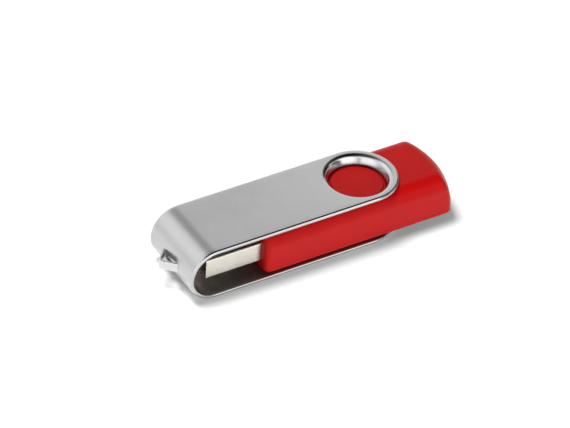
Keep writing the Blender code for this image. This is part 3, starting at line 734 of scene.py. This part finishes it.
class Look:
    """A Principled material and short ways to drive its sockets from procedural nodes."""

    def __init__(self, name, **constants):
        self.material = bpy.data.materials.new(name)
        self.material.use_nodes = True
        self.nodes = self.material.node_tree.nodes
        self.links = self.material.node_tree.links
        self.shader = self.nodes["Principled BSDF"]
        for socket, value in constants.items():
            self.shader.inputs[socket.replace("_", " ")].default_value = value
        self.where = self.nodes.new("ShaderNodeTexCoord").outputs["Object"]

    def noise(self, scale, stretch=(1, 1, 1), detail=4.0, rough=0.55):
        """Noise in the part's own space: scale is in features per metre, before the stretch."""
        place = self.nodes.new("ShaderNodeMapping")
        place.inputs["Scale"].default_value = [scale * value for value in stretch]
        self.links.new(self.where, place.inputs["Vector"])
        made = self.nodes.new("ShaderNodeTexNoise")
        made.inputs["Scale"].default_value = 1.0
        made.inputs["Detail"].default_value = detail
        made.inputs["Roughness"].default_value = rough
        self.links.new(place.outputs["Vector"], made.inputs["Vector"])
        return made.outputs["Fac"]

    def ranged(self, value, low, high):
        """A noise's value moved to another range."""
        made = self.nodes.new("ShaderNodeMapRange")
        made.inputs["From Min"].default_value = NOISE_RANGE[0]
        made.inputs["From Max"].default_value = NOISE_RANGE[1]
        made.inputs["To Min"].default_value = low
        made.inputs["To Max"].default_value = high
        self.links.new(value, made.inputs["Value"])
        return made.outputs["Result"]

    def mask(self, attribute):
        """A per-point mask of the mesh."""
        made = self.nodes.new("ShaderNodeAttribute")
        made.attribute_name = attribute
        return made.outputs["Fac"]

    def colours(self, share, first, second):
        """A mix of two colours."""
        made = self.nodes.new("ShaderNodeMix")
        made.data_type = "RGBA"
        self.links.new(share, made.inputs["Factor"])
        inputs = [socket for socket in made.inputs if socket.type == "RGBA"]
        for socket, colour in zip(inputs, (first, second)):
            feed(self.links, socket, (*colour, 1.0) if isinstance(colour, tuple) else colour)
        return [socket for socket in made.outputs if socket.type == "RGBA"][0]

    def mottle(self, value, first, second):
        """A colour that wanders between two as a noise does."""
        return self.colours(self.ranged(value, 0.0, 1.0), first, second)

    def mixed(self, share, first, second):
        """A mix of two values."""
        made = self.nodes.new("ShaderNodeMix")
        made.data_type = "FLOAT"
        self.links.new(share, made.inputs["Factor"])
        feed(self.links, made.inputs["A"], first)
        feed(self.links, made.inputs["B"], second)
        return made.outputs["Result"]

    def drive(self, socket, value):
        """Links a value to one of the shader's sockets."""
        self.links.new(value, self.shader.inputs[socket])

    def bump(self, height, distance):
        """Relief from a height value, distance in metres."""
        made = self.nodes.new("ShaderNodeBump")
        made.inputs["Distance"].default_value = distance
        self.links.new(height, made.inputs["Height"])
        self.links.new(made.outputs["Normal"], self.shader.inputs["Normal"])


def satin_steel():
    """Satin steel: fine lengthwise grain, faint clouding, polished collars, dull inner face, painted
    shade down each collar's wall to its lip, and a painted sheen lighter towards each hole.
    """
    look = Look("satin_steel", Metallic=1.0)
    cloud = look.noise(90, detail=3)
    grain = look.noise(1.0, stretch=(900, 9000, 9000), detail=3, rough=0.6)
    outside = look.mottle(cloud, (0.48, 0.48, 0.485), (0.52, 0.52, 0.525))
    # Painted sheen: the leg lighter towards each hole
    outside = look.colours(look.mask("leg_end"), outside, (0.585, 0.585, 0.585))
    outside = look.colours(look.mask("collar"), outside, (0.58, 0.58, 0.59))
    # Painted shade: the collar's drawn wall darker towards its lip
    outside = look.colours(look.mask("lip"), outside, (0.2, 0.18, 0.18))
    inside = look.mottle(look.noise(260), (0.27, 0.25, 0.235), (0.40, 0.37, 0.355))
    inner, polish = look.mask("inner_face"), look.mask("polish")
    look.drive("Base Color", look.colours(inner, outside, inside))
    satin = look.ranged(grain, 0.27, 0.35)
    look.drive("Roughness", look.mixed(polish, look.mixed(inner, satin, 0.42), 0.17))
    look.bump(look.mixed(polish, grain, 0.5), 0.000004)
    return look.material


def loop_steel():
    """The key loop's strip, lighter and less rough than the bend's steel, with streaky mottling."""
    look = Look("loop_steel", Metallic=1.0)
    streaks = look.noise(1.0, stretch=(2500, 2500, 500))
    look.drive("Base Color", look.mottle(streaks, (0.58, 0.58, 0.58), (0.64, 0.64, 0.63)))
    look.drive("Roughness", look.ranged(streaks, 0.16, 0.26))
    look.bump(streaks, 0.000004)
    return look.material


def red_plastic():
    """Moulded red plastic with a fine satin skin."""
    look = Look("red_plastic", Specular_IOR_Level=0.13)
    tone = look.noise(140, detail=3)
    skin = look.noise(7000, detail=2)
    look.drive("Base Color", look.mottle(tone, (0.35, 0.003, 0.003), (0.37, 0.004, 0.004)))
    look.drive("Roughness", look.ranged(look.noise(500), 0.30, 0.38))
    look.bump(skin, 0.000002)
    return look.material


def plug_nickel():
    """Nickel plate on the plug's sleeve: warm, with faint lengthwise rolling marks."""
    look = Look("plug_nickel", Metallic=1.0)
    rolled = look.noise(1.0, stretch=(700, 6000, 6000), detail=3)
    tone = look.noise(200, detail=3)
    look.drive("Base Color", look.mottle(tone, (0.66, 0.62, 0.56), (0.71, 0.67, 0.61)))
    look.drive("Roughness", look.ranged(rolled, 0.26, 0.32))
    look.bump(rolled, 0.0000015)
    return look.material


def contact_gold():
    """Gold plate on the contacts, with wiping marks."""
    look = Look("contact_gold", Metallic=1.0)
    wipes = look.noise(1.0, stretch=(600, 9000, 9000), detail=3)
    tone = look.noise(400, detail=3)
    look.drive("Base Color", look.mottle(tone, (0.78, 0.56, 0.22), (0.85, 0.64, 0.30)))
    look.drive("Roughness", look.ranged(wipes, 0.16, 0.3))
    look.bump(wipes, 0.000003)
    return look.material


def crystal_can():
    """The drawn metal can of the crystal."""
    look = Look("crystal_can", Metallic=1.0)
    grain = look.noise(3000, detail=3)
    look.drive("Base Color", look.mottle(grain, (0.66, 0.64, 0.58), (0.74, 0.72, 0.66)))
    look.drive("Roughness", look.ranged(grain, 0.25, 0.38))
    look.bump(grain, 0.000002)
    return look.material


# Moulded and cast parts: the two colours that each one's surface wanders between, and its roughness
MOULDED = {
    "tongue_plastic": ((0.80, 0.79, 0.75), (0.85, 0.84, 0.80), 0.42),
    "board_laminate": ((0.012, 0.12, 0.04), (0.02, 0.17, 0.06), 0.35),
    "chip_epoxy": ((0.016, 0.016, 0.018), (0.03, 0.03, 0.032), 0.55),
    "led_lens": ((0.72, 0.69, 0.56), (0.78, 0.75, 0.64), 0.25),
    "resistor_film": ((0.025, 0.025, 0.03), (0.05, 0.05, 0.055), 0.5),
    "capacitor_ceramic": ((0.32, 0.19, 0.10), (0.42, 0.27, 0.16), 0.6),
}
MOTTLE_SCALE = 900  # features of the mottling per metre
ROUGH_SPREAD = 0.05


def moulded(name):
    """A moulded or cast surface with a little mottling."""
    first, second, rough = MOULDED[name]
    look = Look(name)
    look.drive("Base Color", look.mottle(look.noise(MOTTLE_SCALE), first, second))
    dulled = look.noise(MOTTLE_SCALE * 4, detail=3)
    look.drive("Roughness", look.ranged(dulled, rough - ROUGH_SPREAD, rough + ROUGH_SPREAD))
    look.bump(look.noise(MOTTLE_SCALE * 8, detail=2), 0.000003)
    return look.material


def dress(piece, material):
    """Gives a piece its material and slot."""
    piece.data.materials.clear()
    piece.data.materials.append(material)


def eased(name, width):
    """A copy in place of a CAD node, with its edges rounded over a width in millimetres."""
    node = frame["nodes"][name]
    data = node.data.copy()
    data.transform(node.matrix_world)
    piece = bpy.data.objects.new(f"{name}_eased", data)
    bpy.context.scene.collection.objects.link(piece)
    soften = piece.modifiers.new("eased_edges", "BEVEL")
    soften.width = width * MM
    soften.segments = 3
    soften.limit_method = "ANGLE"
    soften.angle_limit = math.radians(SHARP_ANGLE)
    apply_modifiers(piece)
    shade(piece.data, SHEET_SHARP_ANGLE)
    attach(piece, "drive")
    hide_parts(name)
    return piece


# ---------------------------------------------------------------- studio

# The white surroundings' cards, in the order they are laid on: direction, full and outer angle in
# degrees, and strength, which is below 0 for a dark card and above 0 for a bright one
CARDS = (
    ((0.1, -0.1, 0.99), 30, 44, -0.93),
    ((0.44, -0.25, 0.86), 25, 38, -0.9),
    ((0.85, 0.2, 0.48), 14, 26, -0.9),
    ((0.95, 0.15, 0.15), 16, 28, -0.9),
    ((0.08, 0.6, 0.79), 6, 20, -0.5),
    ((-0.53, -0.78, 0.3), 4, 10, -0.75),
    ((0.3, -0.93, 0.15), 20, 50, 0.9),
    ((-0.85, -0.45, 0.2), 15, 45, 0.6),
    ((-0.5, 0.64, 0.58), 10, 28, 0.35),
    ((0.76, -0.64, 0.06), 17, 25, -0.93),
)
AMBIENT = 0.25  # how much of the surroundings' light falls on matt surfaces

# Softboxes: direction from the drive, side in metres, and power
SOFTBOXES = {
    "key": ((-0.27, 0.18, 0.945), 0.21, 3.7),
    "fill": ((0.05, -0.98, 0.15), 0.3, 3.6),
}
SOFTBOX_DISTANCE = 0.6  # metres

CAMERA_AZIMUTH = math.radians(-34.39)
CAMERA_ELEVATION = math.radians(38.79)
CAMERA_ROLL = math.radians(-4.91)
CAMERA_DISTANCE = 0.978  # metres from the swivel axis
CAMERA_LENS = 315.7
CAMERA_SENSOR = 36.0
CAMERA_CLIP_START = 0.01  # metres
CAMERA_AIM = (-0.01385, -0.00310)  # metres across and up from the swivel axis, to the view's centre

FLOOR_REACH = 0.3  # metres from the middle to each edge


def build_world():
    """White surroundings with soft-edged cards in them, which the camera itself sees as plain white."""
    world = bpy.data.worlds.new("studio")
    bpy.context.scene.world = world
    world.use_nodes = True
    nodes, links = world.node_tree.nodes, world.node_tree.links
    direction = nodes.new("ShaderNodeTexCoord").outputs["Generated"]

    def card(towards, inner, outer, value):
        """A soft-edged patch: the full value inside one angle, nothing outside another."""
        dot = nodes.new("ShaderNodeVectorMath")
        dot.operation = "DOT_PRODUCT"
        links.new(direction, dot.inputs[0])
        dot.inputs[1].default_value = Vector(towards).normalized()
        made = nodes.new("ShaderNodeMapRange")
        made.interpolation_type = "SMOOTHSTEP"
        made.inputs["From Min"].default_value = math.cos(math.radians(outer))
        made.inputs["From Max"].default_value = math.cos(math.radians(inner))
        made.inputs["To Min"].default_value = 0.0
        made.inputs["To Max"].default_value = value
        links.new(dot.outputs["Value"], made.inputs["Value"])
        return made.outputs["Result"]

    def joined(operation, first, second):
        """The result of an operation on two values, either of which may be a socket."""
        made = nodes.new("ShaderNodeMath")
        made.operation = operation
        feed(links, made.inputs[0], first)
        feed(links, made.inputs[1], second)
        return made.outputs["Value"]

    light = 1.0
    for towards, inner, outer, value in CARDS:
        patch = card(towards, inner, outer, value)
        if value < 0:
            light = joined("MULTIPLY", light, joined("ADD", 1.0, patch))
        else:
            light = joined("ADD", light, patch)
    path = nodes.new("ShaderNodeLightPath").outputs
    held_back = joined("MULTIPLY", path["Is Diffuse Ray"], 1.0 - AMBIENT)
    light = joined("MULTIPLY", light, joined("SUBTRACT", 1.0, held_back))
    shown = joined("MAXIMUM", light, path["Is Camera Ray"])
    background = nodes["Background"]
    links.new(shown, background.inputs["Strength"])
    background.inputs["Color"].default_value = (1.0, 1.0, 1.0, 1.0)


def camera_back():
    """Unit vector from the object to the camera."""
    a, e = CAMERA_AZIMUTH, CAMERA_ELEVATION
    return Vector((math.sin(a) * math.cos(e), -math.cos(a) * math.cos(e), math.sin(e)))


def add_camera():
    """A long lens that looks down on the drive from the key loop's side."""
    back = camera_back()
    level = Vector((math.cos(CAMERA_AZIMUTH), math.sin(CAMERA_AZIMUTH), 0))
    roll = Matrix.Rotation(-CAMERA_ROLL, 3, back)
    right = roll @ level
    up = roll @ back.cross(level)
    place = PIVOT + back * CAMERA_DISTANCE
    aim = PIVOT + right * CAMERA_AIM[0] + up * CAMERA_AIM[1]
    away = (place - aim).normalized()
    across = up.cross(away).normalized()
    camera = bpy.data.objects.new("camera", bpy.data.cameras.new("camera"))
    camera.data.lens = CAMERA_LENS
    camera.data.sensor_width = CAMERA_SENSOR
    camera.data.clip_start = CAMERA_CLIP_START
    turn = Matrix((across, away.cross(across), away)).transposed()
    camera.matrix_world = Matrix.Translation(place) @ turn.to_4x4()
    bpy.context.scene.collection.objects.link(camera)
    bpy.context.scene.camera = camera


def add_floor():
    """The plain white surface that the drive lies on."""
    data = bpy.data.meshes.new("floor")
    corners = [(x * FLOOR_REACH, y * FLOOR_REACH, 0) for x, y in ((-1, -1), (1, -1), (1, 1), (-1, 1))]
    data.from_pydata(corners, [], [(0, 1, 2, 3)])
    floor = bpy.data.objects.new("floor", data)
    bpy.context.scene.collection.objects.link(floor)
    floor.location.z = cad_box[0].z
    look = Look("floor_paper", Roughness=0.9)
    tone = look.noise(30, detail=2)
    look.drive("Base Color", look.mottle(tone, (0.94, 0.94, 0.94), (0.95, 0.95, 0.95)))
    data.materials.append(look.material)


def add_softboxes():
    """A small key light overhead, a little towards the bend and the far side, and a low fill in front."""
    for name, (towards, side, power) in SOFTBOXES.items():
        data = bpy.data.lights.new(name, "AREA")
        data.size = side
        data.energy = power
        softbox = bpy.data.objects.new(name, data)
        towards = Vector(towards).normalized()
        softbox.location = PIVOT + towards * SOFTBOX_DISTANCE
        softbox.rotation_euler = towards.to_track_quat("Z", "Y").to_euler()
        softbox.visible_glossy = False
        bpy.context.scene.collection.objects.link(softbox)


# ---------------------------------------------------------------- assembly

# Which material each kind of part on the board has
INSIDE = {
    "circuit_board": "board_laminate",
    "memory_chip": "chip_epoxy",
    "controller_chip": "chip_epoxy",
    "voltage_regulator": "chip_epoxy",
    "activity_led": "led_lens",
    "resistor": "resistor_film",
    "capacitor": "capacitor_ceramic",
}


def dress_inside():
    """Materials for what the shells hide, and for the plug's insulator and contacts."""
    materials = {name: moulded(name) for name in MOULDED}
    gold, can = contact_gold(), crystal_can()
    dress(eased("plug_tongue", TONGUE_EASE), materials["tongue_plastic"])
    for name, node in frame["nodes"].items():
        kind = name if name in INSIDE else name.rsplit("_", 1)[0]
        if kind == "plug_contact":
            dress(eased(name, CONTACT_EASE), gold)
        elif kind == "crystal":
            dress(eased(name, CRYSTAL_EASE), can)
        elif kind in INSIDE:
            dress(node, materials[INSIDE[kind]])


def main():
    """Builds every visible piece, its materials and the studio."""
    add_camera()
    cover, loop = make_cover()
    dress(cover, satin_steel())
    dress(loop, loop_steel())
    red = red_plastic()
    for shell in make_body():
        dress(shell, red)
    dress(make_plug(), plug_nickel())
    dress_inside()
    build_world()
    add_floor()
    add_softboxes()
    bpy.context.scene.view_settings.view_transform = "Standard"


main()
